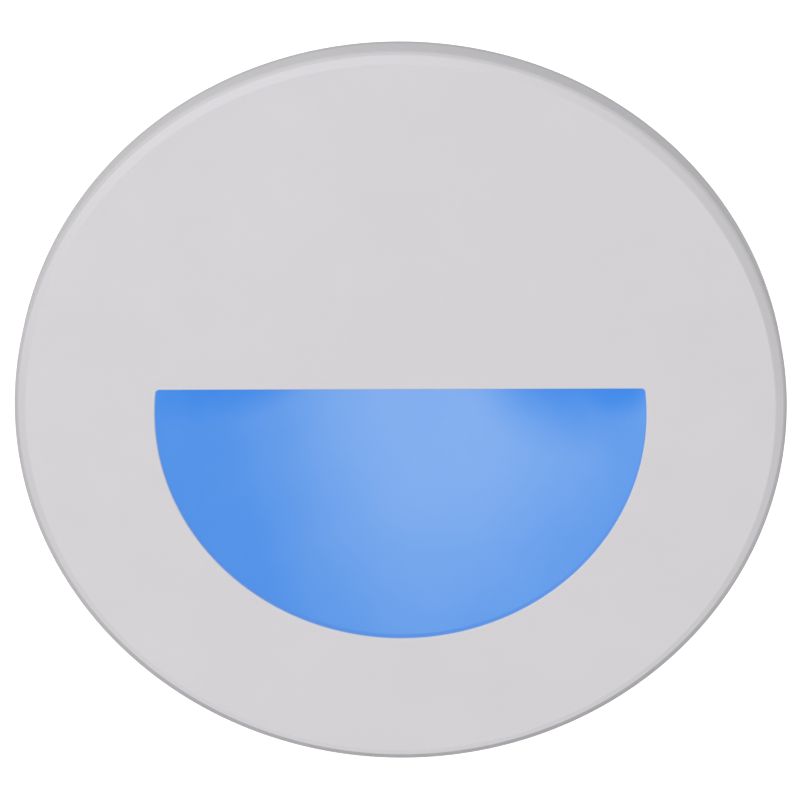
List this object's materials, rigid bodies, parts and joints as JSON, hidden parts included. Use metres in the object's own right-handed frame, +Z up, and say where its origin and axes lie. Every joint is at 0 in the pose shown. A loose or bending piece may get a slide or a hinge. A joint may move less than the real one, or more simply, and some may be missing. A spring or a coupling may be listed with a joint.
{
  "type": "recessed step light",
  "caption": "Round recessed step light with a half-moon scoop that throws light down, a sealed can and spring clips for a wall cut-out.",
  "frame": {"origin": "on the housing's axis, in the plane of the wall that the gasket rests on", "axes": "+Z up, -Y out of the wall towards the viewer, +Y back along the housing into the wall"},
  "size_m": [0.09, 0.0613, 0.09],
  "materials": {
    "powder_coat": "satin white powder coat on die-cast metal",
    "reflector": "smooth white moulded reflector",
    "cast_metal": "die-cast, blasted",
    "black_rubber": "matte",
    "silicone": "matte translucent grey",
    "frosted_lens": "frosted, lit blue",
    "black_plastic": "moulded nylon",
    "steel": "zinc plated",
    "spring_steel": "stainless spring steel",
    "board_white": "white solder mask",
    "led": "lit blue",
    "thermal_pad": "soft silicone pad",
    "spreader": "bare sheet",
    "contact_brass": "plated",
    "board_green": "solder mask",
    "ferrite": "sintered",
    "winding": "taped winding",
    "capacitor": "sleeved can",
    "film_red": "moulded case",
    "fuse_glass": "ceramic tube with metal caps",
    "varistor_blue": "dipped disc",
    "terminal_white": "moulded",
    "insulating_film": "sheet"
  },
  "bodies": {
    "light_body": {"breather_plug": "black_plastic", "bridge_rectifier": "black_plastic", "bulk_capacitor": "capacitor", "clip_bracket_left": "steel", "clip_bracket_right": "steel", "clip_pin_left": "steel", "clip_pin_right": "steel", "clip_pin_rings": "steel", "clip_screws": "steel", "clip_spring_left": "spring_steel", "clip_spring_right": "spring_steel", "driver_board": "board_green", "driver_chip": "black_plastic", "driver_screws": "steel", "earth_screw": "steel", "earth_tag": "contact_brass", "faceplate": "powder_coat", "faceplate_screws": "steel", "film_capacitor": "film_red", "front_seal": "silicone", "fuse": "fuse_glass", "gland_body": "black_plastic", "gland_locknut": "black_plastic", "gland_nut": "black_plastic", "gland_seal": "black_rubber", "gland_washer": "black_rubber", "housing_can": "cast_metal", "insulating_sheet": "insulating_film", "led_board": "board_white", "led_board_screws": "steel", "led_heat_spreader": "spreader", "led_packages": "led", "lens_frame": "black_plastic", "lens_frame_screws": "steel", "lens_gasket": "silicone", "lens_window": "frosted_lens", "link_header": "black_plastic", "link_pins": "contact_brass", "link_sleeve": "black_plastic", "link_socket": "black_plastic", "rear_cover": "cast_metal", "rear_cover_screws": "steel", "rear_cover_seal": "black_rubber", "scoop_reflector": "reflector", "spreader_screws": "steel", "terminal_block": "terminal_white", "terminal_clamps": "contact_brass", "terminal_screws": "contact_brass", "thermal_pad": "thermal_pad", "transformer_coil": "winding", "transformer_core": "ferrite", "varistor": "varistor_blue", "wall_gasket": "black_rubber"},
    "clip_right": {"clip_arm_right": "spring_steel", "clip_pad_right": "black_rubber"},
    "clip_left": {"clip_arm_left": "spring_steel", "clip_pad_left": "black_rubber"}
  },
  "joints": [
    {"name": "clip_right_fold", "type": "hinge", "parent": "light_body", "child": "clip_right", "pos_m": [0.0285, 0.014, 0], "axis": [0, 0, 1], "range_deg": [0, 96], "stiffness_Nm_per_rad": 0.02, "springref_deg": -28.65, "deforming": ["clip_spring_right"]},
    {"name": "clip_left_fold", "type": "hinge", "parent": "light_body", "child": "clip_left", "pos_m": [-0.0285, 0.014, 0], "axis": [0, 0, -1], "range_deg": [0, 96], "stiffness_Nm_per_rad": 0.02, "springref_deg": -28.65, "deforming": ["clip_spring_left"]}
  ]
}
